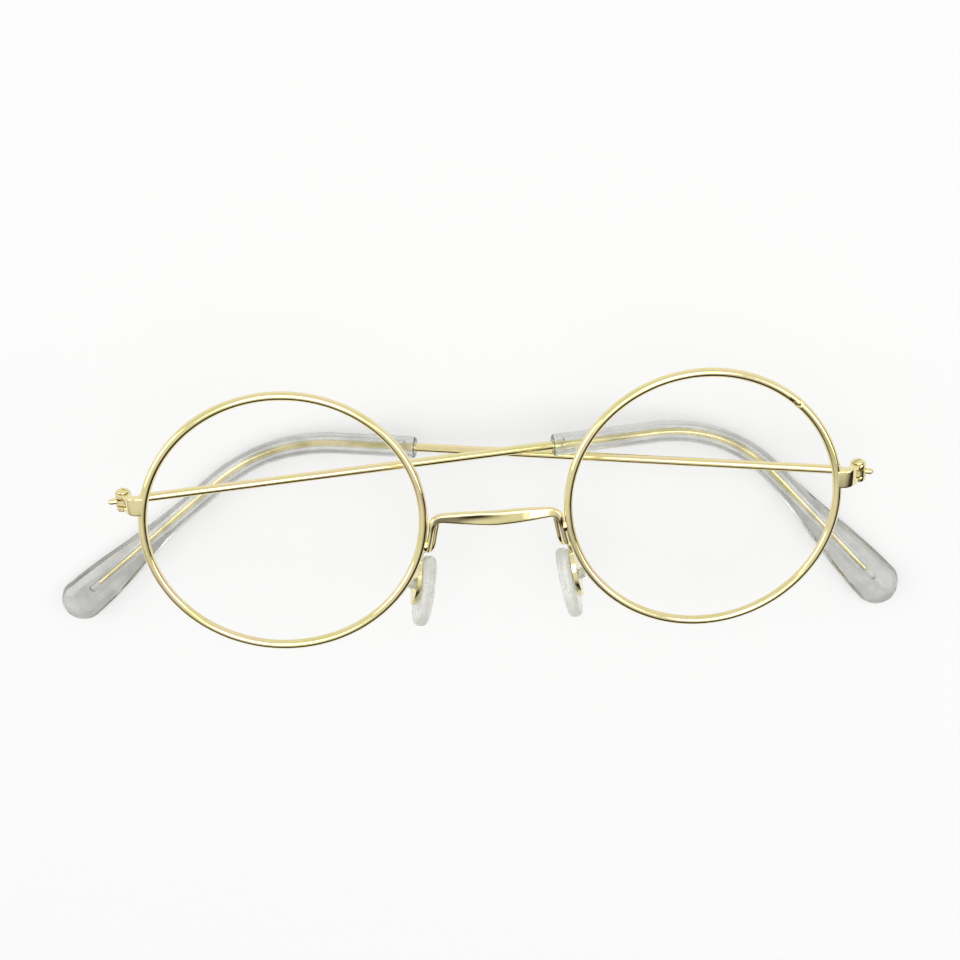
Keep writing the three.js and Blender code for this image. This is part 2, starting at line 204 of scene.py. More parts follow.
def turn_profile(bm: bmesh.types.BMesh, profile: Sequence[tuple[float, float]], steps: int) -> None:
    """Spins a profile of radius and height pairs round Y into a closed solid.

    Args:
        bm: The mesh that gets the solid.
        profile: The radius and the height of each corner, from one end of the axis to the other.
        steps: Steps round the axis.
    """
    verts = [bm.verts.new((radius, height, 0.0)) for radius, height in profile]
    edges = [bm.edges.new(pair) for pair in zip(verts, verts[1:])]
    bmesh.ops.spin(
        bm,
        geom=verts + edges,
        cent=(0.0, 0.0, 0.0),
        axis=TOWARDS_BROW,
        angle=math.tau,
        steps=steps,
        use_merge=True,
    )
    bmesh.ops.remove_doubles(bm, verts=bm.verts, dist=MERGE_REACH)


def round_bar(diameter: float, height: float, middle: Vector) -> bmesh.types.BMesh:
    """A round bar along Y.

    Args:
        diameter: The bar's diameter.
        height: The bar's length.
        middle: Where its middle stands.

    Returns:
        The new mesh.
    """
    bm = bmesh.new()
    bmesh.ops.create_cone(
        bm,
        cap_ends=True,
        segments=PIN_SIDES,
        radius1=diameter / 2,
        radius2=diameter / 2,
        depth=height,
        matrix=Matrix.Translation(middle) @ Matrix.Rotation(-math.pi / 2, 4, "X"),
    )
    return bm


class Workbench:
    """Turns bmesh solids into finished pieces that ride on the frame's bodies."""

    def __init__(self, front: Matrix) -> None:
        """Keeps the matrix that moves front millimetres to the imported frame's metres."""
        self.front = front @ Matrix.Scale(MILLIMETRE, 4)

    @staticmethod
    def solid(name: str, bm: bmesh.types.BMesh) -> bpy.types.Object:
        """Closes a bmesh into an object with outward faces.

        Args:
            name: The object's name.
            bm: The mesh, which is freed.

        Returns:
            The new object, still in millimetres.
        """
        bmesh.ops.recalc_face_normals(bm, faces=bm.faces)
        mesh = bpy.data.meshes.new(name)
        bm.to_mesh(mesh)
        bm.free()
        made = bpy.data.objects.new(name, mesh)
        bpy.context.scene.collection.objects.link(made)
        return made

    @staticmethod
    def apply(piece: bpy.types.Object) -> None:
        """Makes a piece's modifiers part of its mesh.

        Args:
            piece: The object with the modifiers.
        """
        evaluated = piece.evaluated_get(bpy.context.evaluated_depsgraph_get())
        mesh = bpy.data.meshes.new_from_object(evaluated)
        piece.modifiers.clear()
        old = piece.data
        piece.data = mesh
        bpy.data.meshes.remove(old)

    def combine(self, piece: bpy.types.Object, tool: bpy.types.Object, operation: str) -> None:
        """Joins a tool solid to a piece, or cuts it out, and removes the tool.

        Args:
            piece: The solid that is changed.
            tool: The solid that is joined or cut out.
            operation: UNION or DIFFERENCE.
        """
        joined = piece.modifiers.new("combine", "BOOLEAN")
        joined.object = tool
        joined.operation = operation
        joined.solver = "EXACT"
        self.apply(piece)
        bpy.data.objects.remove(tool)

    def soften(self, piece: bpy.types.Object, width: float, segments: int = 2) -> None:
        """Breaks a solid's sharp edges.

        Args:
            piece: The solid.
            width: How wide the broken edge is.
            segments: Steps across it.
        """
        softened = piece.modifiers.new("soften", "BEVEL")
        softened.width = width
        softened.segments = segments
        softened.limit_method = "ANGLE"
        softened.angle_limit = BREAK_ANGLE
        self.apply(piece)

    def finish(
        self, piece: bpy.types.Object, place: Matrix, finish: Finish, body: str, node: str | None
    ) -> None:
        """Puts a piece in its place, dresses it and hangs it on a body.

        Args:
            piece: The finished solid, in millimetres.
            place: Moves it from its own axes to the front's.
            finish: What it is made of.
            body: The body it rides on.
            node: The CAD node that it stands for, if any.
        """
        piece.data.transform(self.front @ place)
        piece.data.shade_smooth()
        piece.data.set_sharp_from_angle(angle=SHARP_ANGLE)
        piece.data.materials.clear()
        piece.data.materials.append(finish.material)
        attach(piece, body)
        if node:
            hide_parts(node)
        LOG.info("%s rides on %s", piece.name, body)


class Finish:
    """A material of the record and the shader that shows it."""

    def __init__(self, name: str, slot: str) -> None:
        """Starts a material with one principled shader.

        Args:
            name: The material's name.
            slot: The record's slot that it stands for.
        """
        self.slot = slot
        self.material = bpy.data.materials.new(name)
        self.material.use_nodes = True
        self.nodes = self.material.node_tree.nodes
        self.links = self.material.node_tree.links
        self.shader = self.nodes["Principled BSDF"]
        self.place = self.nodes.new("ShaderNodeTexCoord")

    def set(self, **values: object) -> None:
        """Sets plain values on the shader's own sockets, with spaces written as underscores."""
        for name, value in values.items():
            self.shader.inputs[name.replace("_", " ")].default_value = value

    def noise(self, scale: float, detail: float = 2.0) -> bpy.types.ShaderNode:
        """A noise pattern in the piece's own place.

        Args:
            scale: Repeats in a metre.
            detail: Octaves.

        Returns:
            The noise node.
        """
        noise = self.nodes.new("ShaderNodeTexNoise")
        noise.inputs["Scale"].default_value = scale
        noise.inputs["Detail"].default_value = detail
        self.links.new(self.place.outputs["Object"], noise.inputs["Vector"])
        return noise

    def ramp(self, source: bpy.types.ShaderNode, stops: Stops) -> bpy.types.ShaderNode:
        """A colour ramp on a pattern.

        Args:
            source: The pattern's node.
            stops: The place and the colour of each stop.

        Returns:
            The ramp node.
        """
        ramp = self.nodes.new("ShaderNodeValToRGB")
        elements = ramp.color_ramp.elements
        while len(elements) < len(stops):
            elements.new(0.5)
        for element, (place, colour) in zip(elements, stops):
            element.position = place
            element.color = (*colour, 1.0)
        self.links.new(source.outputs[0], ramp.inputs["Fac"])
        return ramp

    def feed(self, socket: str, scale: float, detail: float, stops: Stops) -> None:
        """Feeds one of the shader's sockets from a noise pattern with a colour ramp.

        Args:
            socket: The socket's name.
            scale: The pattern's repeats in a metre.
            detail: Its octaves.
            stops: The place and the colour of each stop.
        """
        ramp = self.ramp(self.noise(scale, detail), stops)
        self.links.new(ramp.outputs["Color"], self.shader.inputs[socket])

    def gloss(self, scale: float, detail: float, stops: Sequence[tuple[float, float]]) -> None:
        """Varies the shader's roughness by a noise pattern, with a place and a roughness for each stop."""
        self.feed("Roughness", scale, detail, [(place, (rough,) * 3) for place, rough in stops])

    def bump(self, source: bpy.types.ShaderNode, strength: float, distance: float) -> None:
        """Raises the surface by a pattern, on top of the patterns before it.

        Args:
            source: The pattern's node.
            strength: How much of it shows.
            distance: Its height in metres.
        """
        bump = self.nodes.new("ShaderNodeBump")
        bump.inputs["Strength"].default_value = strength
        bump.inputs["Distance"].default_value = distance
        for link in self.shader.inputs["Normal"].links:
            self.links.new(link.from_socket, bump.inputs["Normal"])
        self.links.new(source.outputs["Fac"], bump.inputs["Height"])
        self.links.new(bump.outputs["Normal"], self.shader.inputs["Normal"])


class GoldPlate(Finish):
    """Pale yellow gold plating on drawn wire, a little uneven."""

    def __init__(self, slot: str, name: str = "pale_gold", tint: float = 1.0) -> None:
        """Mixes the gold.

        Args:
            slot: The record's slot.
            name: The material's name.
            tint: Darkens the gold when below 1.
        """
        super().__init__(name, slot)
        self.set(Metallic=1.0)
        tints = ((0.34, (0.81, 0.735, 0.345)), (0.5, (0.86, 0.76, 0.415)), (0.68, (0.88, 0.73, 0.46)))
        stops = [(place, tuple(tint * c for c in colour)) for place, colour in tints]
        self.feed("Base Color", 140.0, 3.0, stops)
        self.gloss(900.0, 4.0, ((0.3, 0.07), (0.75, 0.17)))
        self.bump(self.noise(300.0), 0.4, 0.0001)
        self.bump(self.noise(1500.0, 3.0), 0.12, 0.00002)


class ClearSleeve(Finish):
    """Clear soft plastic with a grey cast that partly stands in for painted shade, and random painted
    patches of highlight and shade.
    """

    def __init__(self, slot: str) -> None:
        """Mixes the plastic.

        Args:
            slot: The record's slot.
        """
        super().__init__("clear_sleeve", slot)
        self.set(Metallic=0.0, Transmission_Weight=1.0, IOR=1.46, Coat_Weight=0.6)
        # Painted shade: the grey absorption is partly the plastic's own cast and partly stands in for the
        # shade on the floor seen through the sleeve.
        grey = self.nodes.new("ShaderNodeVolumeAbsorption")
        grey.inputs["Color"].default_value = (0.56, 0.565, 0.52, 1.0)
        grey.inputs["Density"].default_value = 220.0
        self.links.new(grey.outputs["Volume"], self.nodes["Material Output"].inputs["Volume"])
        # Painted highlight and shade: random lighter and darker patches in the tint stand in for the
        # sleeve's reflections and refracted surroundings.
        self.feed("Base Color", 260.0, 4.0, [(0.36, (0.8, 0.805, 0.795)), (0.6, (1.0, 1.0, 1.0))])
        self.gloss(500.0, 3.0, ((0.3, 0.03), (0.8, 0.10)))
        self.bump(self.noise(200.0), 0.13, 0.0001)


class MilkyPad(Finish):
    """Milky clear plastic of the nose pads."""

    def __init__(self, slot: str) -> None:
        """Mixes the plastic.

        Args:
            slot: The record's slot.
        """
        super().__init__("milky_pad", slot)
        self.set(Metallic=0.0, Transmission_Weight=0.55, IOR=1.45)
        self.feed("Base Color", 520.0, 3.0, [(0.32, (0.80, 0.81, 0.765)), (0.68, (0.95, 0.955, 0.915))])
        self.gloss(900.0, 3.0, ((0.3, 0.16), (0.8, 0.34)))
        self.bump(self.noise(800.0), 0.25, 0.0001)


@dataclass(frozen=True)
class Finishes:
    """The finishes that the pieces share."""

    gold: Finish
    screw: Finish
    sleeve: Finish
    pad: Finish


@dataclass(frozen=True)
class FrontSizes:
    """Sizes that the front's pieces share."""

    wire: float = 1.5
    rim_height: float = 45.0
    right_rim_width: float = 45.5
    left_rim_width: float = 44.5
    nose_width: float = 23.8
    right_hinge_reach: float = 2.95
    left_hinge_reach: float = 3.95
    right_hinge_rise: float = 4.7
    left_hinge_rise: float = 2.5
    hinge_setback: float = 2.55
    barrel_height: float = 2.9
    barrel: float = 2.6
    screw: float = 0.9
    leg_drop: float = 6.5
    leg: float = 0.8
    bridge_rise: float = -0.35
    seat_gap: float = 0.2
    running_gap: float = 0.08

    def rim_ends(self, side: Side) -> tuple[float, float]:
        """Where a rim's wire crosses its middle level.

        Args:
            side: The rim's side.

        Returns:
            The X on the outer side and the X on the nose side.
        """
        inner = self.nose_width / 2
        outer = inner + (self.right_rim_width if side is Side.RIGHT else self.left_rim_width)
        return side.value * outer, side.value * inner

    def rim_at(self, side: Side, height: float) -> tuple[float, float]:
        """Measures a rim at a height.

        Args:
            side: The rim's side.
            height: The height above its middle.

        Returns:
            The X of the rim's middle, and half its width at the height.
        """
        outer, inner = self.rim_ends(side)
        share = math.sqrt(1.0 - (2.0 * height / self.rim_height) ** 2)
        return (outer + inner) / 2, abs(outer - inner) / 2 * share

    def nose_side(self, side: Side, height: float, thickness: float) -> float:
        """The X of something that leans on the nose side of a rim at a height."""
        middle, half = self.rim_at(side, height)
        return middle - side.value * (half + self.wire / 2 + self.seat_gap + thickness / 2)

    def hinge_rise(self, side: Side) -> float:
        """The height of a side's hinge."""
        return self.right_hinge_rise if side is Side.RIGHT else self.left_hinge_rise

    def pin(self, side: Side) -> Vector:
        """Finds the middle of a hinge pin.

        Args:
            side: The hinge's side.

        Returns:
            The place.
        """
        reach = self.right_hinge_reach if side is Side.RIGHT else self.left_hinge_reach
        x = self.rim_ends(side)[0] + side.value * reach
        return Vector((x, self.hinge_rise(side), -self.hinge_setback))


@dataclass(frozen=True)
class Rim:
    """One rim: a closed ring of round wire."""

    sizes: FrontSizes
    side: Side
    sides: int = 24
    steps: int = 160
    seam: float = 48.6
    seam_slant: float = 55.0
    seam_width: float = 0.13
    seam_depth: float = 0.25
    nick: float = 50.5
    nick_tilt: float = -29.0
    nick_length: float = 1.1
    nick_depth: float = 0.12

    def cut_seam(self, bm: bmesh.types.BMesh) -> None:
        """Draws in the wire where the ring's two ends meet.

        Args:
            bm: The ring's mesh, before it is stretched.
        """
        angle = math.radians(self.seam)
        out = Vector((math.cos(angle), math.sin(angle), 0.0))
        along = TOWARDS_VIEWER.cross(out)
        middle = out * self.sizes.rim_height / 2
        slant = math.radians(self.seam_slant)
        across = along * math.cos(slant) + TOWARDS_VIEWER * math.sin(slant)
        reach = 2 * self.sizes.wire
        for offset in (-self.seam_width, self.seam_width, 0.0):
            faces = [face for face in bm.faces if (face.calc_center_median() - middle).length < reach]
            edges = {edge for face in faces for edge in face.edges}
            verts = {vert for face in faces for vert in face.verts}
            cut = bmesh.ops.bisect_plane(
                bm,
                geom=[*verts, *edges, *faces],
                dist=MERGE_REACH,
                plane_co=middle + across * offset,
                plane_no=across,
            )["geom_cut"]
        ring = [item for item in cut if isinstance(item, bmesh.types.BMVert)]
        left = 1.0 - self.seam_depth
        drawn_in = Matrix.Scale(left, 4, out) @ Matrix.Scale(left, 4, TOWARDS_VIEWER)
        bmesh.ops.transform(bm, matrix=drawn_in, space=Matrix.Translation(-middle), verts=ring)

    def nick_solid(self) -> bmesh.types.BMesh:
        """Makes the block that is cut out of the wire beside the seam and leaves a small flat nick.

        Returns:
            The block, in its place on the ring.
        """
        bm = bmesh.new()
        bmesh.ops.create_cube(bm, size=self.nick_length)
        lift = self.sizes.wire / 2 - self.nick_depth + self.nick_length / 2
        section = Matrix.Translation((self.sizes.rim_height / 2, 0.0, 0.0))
        tilt = Matrix.Rotation(math.radians(self.nick_tilt), 4, "Y")
        turn = Matrix.Rotation(math.radians(self.nick), 4, "Z")
        place = turn @ section @ tilt @ Matrix.Translation((0.0, 0.0, lift))
        bmesh.ops.transform(bm, matrix=place, verts=bm.verts)
        return bm

    def build(self, bench: Workbench, finishes: Finishes) -> None:
        """Spins the ring and hangs it on the front.

        Args:
            bench: Makes and places the piece.
            finishes: The finishes to choose from.
        """
        bm = bmesh.new()
        radius = self.sizes.rim_height / 2
        stand = Matrix.Translation((radius, 0.0, 0.0)) @ Matrix.Rotation(math.pi / 2, 4, "X")
        ring = bmesh.ops.create_circle(
            bm, cap_ends=False, segments=self.sides, radius=self.sizes.wire / 2, matrix=stand
        )["verts"]
        bmesh.ops.spin(
            bm,
            geom=ring + list(bm.edges),
            cent=(0.0, 0.0, 0.0),
            axis=TOWARDS_VIEWER,
            angle=math.tau,
            steps=self.steps,
            use_merge=True,
        )
        bmesh.ops.remove_doubles(bm, verts=bm.verts, dist=MERGE_REACH)
        if self.side is Side.LEFT:
            self.cut_seam(bm)
        outer, inner = self.sizes.rim_ends(self.side)
        stretch = Matrix.Scale(abs(outer - inner) / self.sizes.rim_height, 4, (1.0, 0.0, 0.0))
        place = Matrix.Translation(((outer + inner) / 2, 0.0, 0.0))
        name = f"{self.side.prefix}_rim"
        rim = bench.solid(f"{name}_wire", bm)
        if self.side is Side.LEFT:
            bench.combine(rim, bench.solid("nick", self.nick_solid()), "DIFFERENCE")
        bench.finish(rim, place @ stretch, finishes.gold, "front", name)


@dataclass(frozen=True)
class Bridge:
    """The bridge wire: a leg on each rim and a saddle that is pressed flat between them."""

    sizes: FrontSizes
    sag: float = 0.35
    bend: float = 1.7
    saddle_height: float = 2.65
    saddle_depth: float = 1.1
    saddle_fullness: float = 1.55
    saddle_twist: float = 9.5
    hollow: float = 0.16
    hollow_at: float = 0.42
    hollow_reach: float = 0.15
    press_margin: float = 1.5
    hollow_width: float = 0.5
    bow: float = 0.9
    leg_lean: float = 1.0
    bead_rises: tuple[float, float] = (1.0, 3.2)
    bead_lift: float = 0.1
    sides: int = 28
    rings: int = 120

    def path(self) -> WirePath:
        """Lays the wire's centre line.

        Returns:
            The line from foot to foot.
        """
        sizes = self.sizes

        def foot(side: Side) -> Vector:
            """The end of a side's leg."""
            return Vector((sizes.nose_side(side, sizes.leg_drop, sizes.leg), -sizes.leg_drop, 0.0))

        def corner(side: Side) -> Vector:
            """Where a side's leg bends into the saddle."""
            return Vector((sizes.nose_side(side, 0.0, sizes.wire), sizes.bridge_rise, self.bow / 3))

        middle = Vector((0.0, sizes.bridge_rise - self.sag, self.bow))
        return WirePath(
            [foot(Side.RIGHT), corner(Side.RIGHT), middle, corner(Side.LEFT), foot(Side.LEFT)], self.bend
        )

    def build(self, bench: Workbench, finishes: Finishes) -> None:
        """Grows the wire, presses its saddle and hangs it and its braze on the front.

        Args:
            bench: Makes and places the pieces.
            finishes: The finishes to choose from.
        """
        sizes = self.sizes
        path = self.path()
        half = path.length / 2
        leg_end = math.hypot(sizes.leg_drop + sizes.bridge_rise, self.leg_lean)
        sections = []
        for distance in even_steps(0.0, path.length, self.rings):
            from_middle = abs(distance - half)
            flat = 1.0 - min(from_middle / (half - leg_end), 1.0) ** 2
            leg = smooth_step(from_middle, half - leg_end, half - leg_end / 2)
            round_wire = mix(sizes.wire, sizes.leg, leg)
            width = mix(round_wire, self.saddle_height, flat)
            depth = mix(round_wire, self.saddle_fullness, flat)
            twist = -math.radians(self.saddle_twist) * math.sin(math.tau * distance / path.length)
            facing = Vector((0.0, math.sin(twist), math.cos(twist)))
            sections.append(path.section(distance, facing, width, depth))
        bm = bmesh.new()
        grow_tube(bm, sections, self.sides)
        self.press(bm, sections)
        wire = bench.solid("bridge_wire", bm)
        bench.finish(wire, Matrix.Identity(4), finishes.gold, "front", "bridge")
        for side, rise in zip(Side, self.bead_rises):
            height = rise - sizes.leg_drop
            middle = Vector((sizes.nose_side(side, height, -sizes.seat_gap), height, self.bead_lift))
            BrazeBead(f"{side.prefix}_leg_braze", middle).build(bench, finishes)

    def press(self, bm: bmesh.types.BMesh, sections: Sequence[Matrix]) -> None:
        """Presses the saddle flat on its front and back, which leaves a lens-shaped facet on each.

        Args:
            bm: The wire's mesh, whose rings stand in the order of the sections.
            sections: The matrix of each ring.
        """
        bm.verts.ensure_lookup_table()
        limit = self.saddle_depth / 2
        pressed = self.sizes.nose_width / 2 - self.press_margin
        for index, section in enumerate(sections):
            across = section.col[0].to_3d()
            out = section.col[1].to_3d().normalized()
            away = abs(index / (len(sections) - 1) - self.hollow_at)
            hollow = self.hollow * (1.0 - smooth_step(away, 0.0, self.hollow_reach))
            for vert in bm.verts[index * self.sides : (index + 1) * self.sides]:
                height = (vert.co - section.translation).dot(out)
                if abs(height) > limit and abs(vert.co.x) < pressed:
                    share = (vert.co - section.translation).dot(across) / across.length_squared
                    depth = max(1.0 - share * share / self.hollow_width, 0.0)
                    dip = hollow * depth if height > 0.0 else 0.0
                    vert.co += out * (math.copysign(limit, height) - dip - height)


@dataclass(frozen=True)
class BrazeBead:
    """A small uneven bead of braze that fills the gap between two upright wires of the front."""

    name: str
    middle: Vector
    length: float = 1.9
    width: float = 1.0
    depth: float = 1.05
    unevenness: float = 0.12
    lumps: float = 5.0
    end_angle: float = 0.06
    rings: int = 18
    sides: int = 20

    def build(self, bench: Workbench, finishes: Finishes) -> None:
        """Grows the bead and hangs it on the front.

        Args:
            bench: Makes and places the piece.
            finishes: The finishes to choose from.
        """
        half = Vector((0.0, self.length / 2, 0.0))
        path = WirePath([self.middle - half, self.middle + half], 0.0)
        sections = []
        for angle in even_steps(self.end_angle, math.pi - self.end_angle, self.rings):
            swell = math.sin(angle) * (1.0 + self.unevenness * math.sin(self.lumps * angle))
            distance = self.length / 2 * (1.0 - math.cos(angle))
            sections.append(path.section(distance, TOWARDS_VIEWER, self.width * swell, self.depth * swell))
        bm = bmesh.new()
        grow_tube(bm, sections, self.sides)
        bead = bench.solid(self.name, bm)
        bench.finish(bead, Matrix.Identity(4), finishes.gold, "front", None)


@dataclass(frozen=True)
class EndPiece:
    """A bent strip on the rim, with two knuckles round a slotted screw."""

    sizes: FrontSizes
    side: Side
    height: float = 3.1
    thickness: float = 1.5
    bend: float = 0.9
    slot_diameter: float = 4.5
    slot_height: float = 1.3
    squareness: float = 0.82
    edge: float = 0.1
    rings: int = 24
    sides: int = 24
    head: float = 2.0
    head_height: float = 0.4
    head_curve: tuple[tuple[float, float], ...] = (
        (1.0, 0.0),
        (1.0, 0.5),
        (0.86, 0.8),
        (0.5, 0.96),
        (0.0, 1.0),
    )
    point_share: float = 0.8
    point_height: float = 0.1
    screw_slot: float = 0.36
    slot_past_head: float = 1.5
    slot_tall: float = 1.2
    slot_lift: float = 1.05
    slot_turn: float = 35.0

    def strip(self) -> bmesh.types.BMesh:
        """Bends the strip.

        Returns:
            The strip from the rim to the pin, with rounded edges.
        """
        sizes = self.sizes
        sign = self.side.value
        rise = sizes.hinge_rise(self.side)
        middle, half = sizes.rim_at(self.side, rise)
        rim_x = sign * middle + half
        pin_x = abs(sizes.pin(self.side).x)
        path = WirePath(
            [
                Vector((sign * rim_x, rise, 0.0)),
                Vector((sign * (rim_x + pin_x) / 2, rise, 0.0)),
                sizes.pin(self.side),
            ],
            self.bend,
        )
        bm = bmesh.new()
        sections = []
        for distance in even_steps(0.0, path.length, self.rings):
            taper = smooth_step(distance, path.length / 3, path.length - sizes.barrel / 2)
            depth = mix(self.height, sizes.barrel_height, taper)
            sections.append(path.section(distance, TOWARDS_BROW, self.thickness, depth))
        grow_tube(bm, sections, self.sides, self.squareness)
        return bm

    def build(self, bench: Workbench, finishes: Finishes) -> None:
        """Makes the strip with its knuckles, and its screw, and hangs them on the front.

        Args:
            bench: Makes and places the pieces.
            finishes: The finishes to choose from.
        """
        sizes = self.sizes
        prefix = self.side.prefix
        piece = bench.solid(f"{prefix}_end_piece_strip", self.strip())
        for diameter, height, operation in (
            (sizes.barrel, sizes.barrel_height, "UNION"),
            (self.slot_diameter, self.slot_height, "DIFFERENCE"),
            (sizes.screw + 2 * sizes.running_gap, 3 * self.height, "DIFFERENCE"),
        ):
            tool = bench.solid("knuckle_tool", round_bar(diameter, height, sizes.pin(self.side)))
            bench.combine(piece, tool, operation)
        bench.soften(piece, self.edge)
        bench.finish(piece, Matrix.Identity(4), finishes.gold, "front", f"{prefix}_end_piece")
        self.build_screw(bench, finishes)

    def build_screw(self, bench: Workbench, finishes: Finishes) -> None:
        """Turns the screw, cuts the slot in its head and hangs it on the front.

        Args:
            bench: Makes and places the piece.
            finishes: The finishes to choose from.
        """
        sizes = self.sizes
        prefix = self.side.prefix
        shank = sizes.screw / 2
        top = sizes.barrel_height / 2 + sizes.running_gap
        bottom = -sizes.barrel_height / 2
        head = self.head / 2
        profile = [
            (0.0, bottom),
            (shank * self.point_share, bottom),
            (shank, bottom + self.point_height),
            (shank, top),
        ]
        profile += [(head * across, top + self.head_height * up) for across, up in self.head_curve]
        bm = bmesh.new()
        turn_profile(bm, profile, PIN_SIDES)
        screw = bench.solid(f"{prefix}_slotted_screw", bm)
        cutter = bmesh.new()
        long = self.head * self.slot_past_head
        size = Matrix.Diagonal((long, self.head_height * self.slot_tall, self.screw_slot, 1.0))
        at_top = Matrix.Translation((0.0, top + self.head_height * self.slot_lift, 0.0))
        turn = Matrix.Rotation(math.radians(self.slot_turn * self.side.value), 4, "Y")
        bmesh.ops.create_cube(cutter, size=1.0, matrix=at_top @ turn @ size)
        bench.combine(screw, bench.solid("slot_tool", cutter), "DIFFERENCE")
        place = Matrix.Translation(sizes.pin(self.side))
        bench.finish(screw, place, finishes.screw, "front", f"{prefix}_hinge_screw")


@dataclass(frozen=True)
class NosePad:
    """An oval pad with a split stud, and the arm whose plate carries it."""

    sizes: FrontSizes
    side: Side
    spacing: float = 24.7
    drop: float = 16.6
    setback: float = 5.2
    splay: float = 11.5
    turn: float = 9.0
    length: float = 13.1
    width: float = 7.0
    thickness: float = 2.2
    edge: float = 0.8
    taper: float = 0.16
    stud: float = 1.5
    stud_head: float = 2.1
    stud_head_height: float = 0.7
    stud_slot: float = 0.45
    stud_rise: float = 1.3
    arm_width: float = 0.7
    arm_thickness: float = 0.75
    arm_bend: float = 1.6
    plate_thickness: float = 0.7
    plate_width: float = 4.2
    plate_top: float = 4.6
    plate_point: float = 4.2
    arm_lead: float = 2.4
    slide_gap: float = 0.15
    edge_share: float = 0.4
    cushion_rings: int = 20
    cushion_sides: int = 64
    stud_rim_share: float = 0.97
    stud_rim_height: float = 0.12
    stud_shoulder_share: float = 0.77
    stud_shoulder_drop: float = 0.05
    stud_top_share: float = 0.7
    stud_sides: int = 32
    plate_sides: int = 48
    arm_rings: int = 60
    arm_sides: int = 16

    def axes(self) -> Matrix:
        """Places the pad's own axes in the front.

        Returns:
            The axes: X out through the stud, Y up the pad's length.
        """
        sign = self.side.value
        heading = -math.radians(self.turn) if sign > 0 else math.pi + math.radians(self.turn)
        lean = Matrix.Rotation(sign * math.radians(self.splay), 4, "Z")
        place = Matrix.Translation((sign * self.spacing / 2, -self.drop, -self.setback))
        return place @ lean @ Matrix.Rotation(heading, 4, "Y")

    def build(self, bench: Workbench, finishes: Finishes) -> None:
        """Makes the pad and its arm, and hangs them on their bodies.

        Args:
            bench: Makes and places the pieces.
            finishes: The finishes to choose from.
        """
        prefix = self.side.prefix
        pad = bench.solid(f"{prefix}_pad_cushion", self.cushion())
        bench.combine(pad, bench.solid("stud_tool", self.stud_solid()), "UNION")
        bench.combine(pad, bench.solid("split_tool", self.stud_split()), "DIFFERENCE")
        bench.finish(pad, self.axes(), finishes.pad, f"{prefix}_pad", f"{prefix}_nose_pad")
        arm = bench.solid(f"{prefix}_pad_arm_strip", self.arm())
        plate = bench.solid("plate_tool", self.plate())
        plate.data.transform(self.axes())
        bench.combine(arm, plate, "UNION")
        bench.finish(arm, Matrix.Identity(4), finishes.gold, "front", f"{prefix}_pad_arm")

    def cushion(self) -> bmesh.types.BMesh:
        """Grows the oval cushion.

        Returns:
            The cushion, flat where it bears on the nose, with its edges rounded over.
        """
        face = -self.thickness / 2
        path = WirePath([Vector((face, 0.0, 0.0)), Vector((-face, 0.0, 0.0))], 0.0)
        sections = []
        for share in even_steps(0.0, 1.0, self.cushion_rings):
            eased = 0.5 - 0.5 * math.cos(math.pi * share)
            rise = min(min(eased, 1.0 - eased) / self.edge_share, 1.0)
            trim = 2 * self.edge * (1.0 - math.sqrt(1.0 - (1.0 - rise) ** 2))
            sections.append(
                path.section(eased * self.thickness, TOWARDS_VIEWER, self.length - trim, self.width - trim)
            )
        bm = bmesh.new()
        grow_tube(bm, sections, self.cushion_sides)
        for vert in bm.verts:
            vert.co.z *= 1.0 - self.taper * vert.co.y / (self.length / 2)
        return bm

    def neck_end(self) -> float:
        """How far out the stud's neck reaches."""
        return self.thickness / 2 + self.plate_thickness + 3 * self.slide_gap

    def stud_solid(self) -> bmesh.types.BMesh:
        """Turns the stud.

        Returns:
            The stud with its wider head.
        """
        neck_end = self.neck_end()
        neck = self.stud / 2
        head = self.stud_head / 2
        top = neck_end + self.stud_head_height
        bm = bmesh.new()
        profile = [
            (0.0, 0.0),
            (neck, 0.0),
            (neck, neck_end),
            (head, neck_end),
            (head * self.stud_rim_share, neck_end + self.stud_rim_height),
            (head * self.stud_shoulder_share, top - self.stud_shoulder_drop),
            (head * self.stud_top_share, top),
            (0.0, top),
        ]
        turn_profile(bm, profile, self.stud_sides)
        out = Matrix.Translation((0.0, self.stud_rise, 0.0)) @ Matrix.Rotation(-math.pi / 2, 4, "Z")
        bmesh.ops.transform(bm, matrix=out, verts=bm.verts)
        return bm

    def stud_split(self) -> bmesh.types.BMesh:
        """Makes the block that splits the stud.

        Returns:
            The slot across the stud's head, as a solid.
        """
        bm = bmesh.new()
        place = Matrix.Translation((self.neck_end() + self.stud_head_height, self.stud_rise, 0.0))
        size = Matrix.Diagonal((2 * self.stud_head_height, self.stud_slot, 2 * self.stud_head, 1.0))
        bmesh.ops.create_cube(bm, size=1.0, matrix=place @ size)
        return bm

    def plate(self) -> bmesh.types.BMesh:
        """Cuts the pointed plate.

        Returns:
            The plate with the stud's hole, in the pad's axes.
        """
        bm = bmesh.new()
        stand = Matrix.Rotation(math.pi / 2, 4, "Y")
        rings = []
        for radius in (1.0, self.stud / 2 + self.sizes.running_gap):
            ring = bmesh.ops.create_circle(
                bm, cap_ends=False, segments=self.plate_sides, radius=radius, matrix=stand
            )["verts"]
            rings.append(ring)
        for vert in rings[0]:
            reach = self.plate_top if vert.co.y > 0 else self.plate_point
            vert.co.z *= abs(vert.co.z) * self.plate_width / 2
            vert.co.y *= reach
        bmesh.ops.bridge_loops(bm, edges=list(bm.edges))
        back = self.thickness / 2 + self.slide_gap
        bmesh.ops.translate(bm, vec=(back, self.stud_rise, 0.0), verts=bm.verts)
        raised = bmesh.ops.extrude_face_region(bm, geom=list(bm.faces), use_keep_orig=True)["geom"]
        verts = [item for item in raised if isinstance(item, bmesh.types.BMVert)]
        bmesh.ops.translate(bm, vec=(self.plate_thickness, 0.0, 0.0), verts=verts)
        return bm

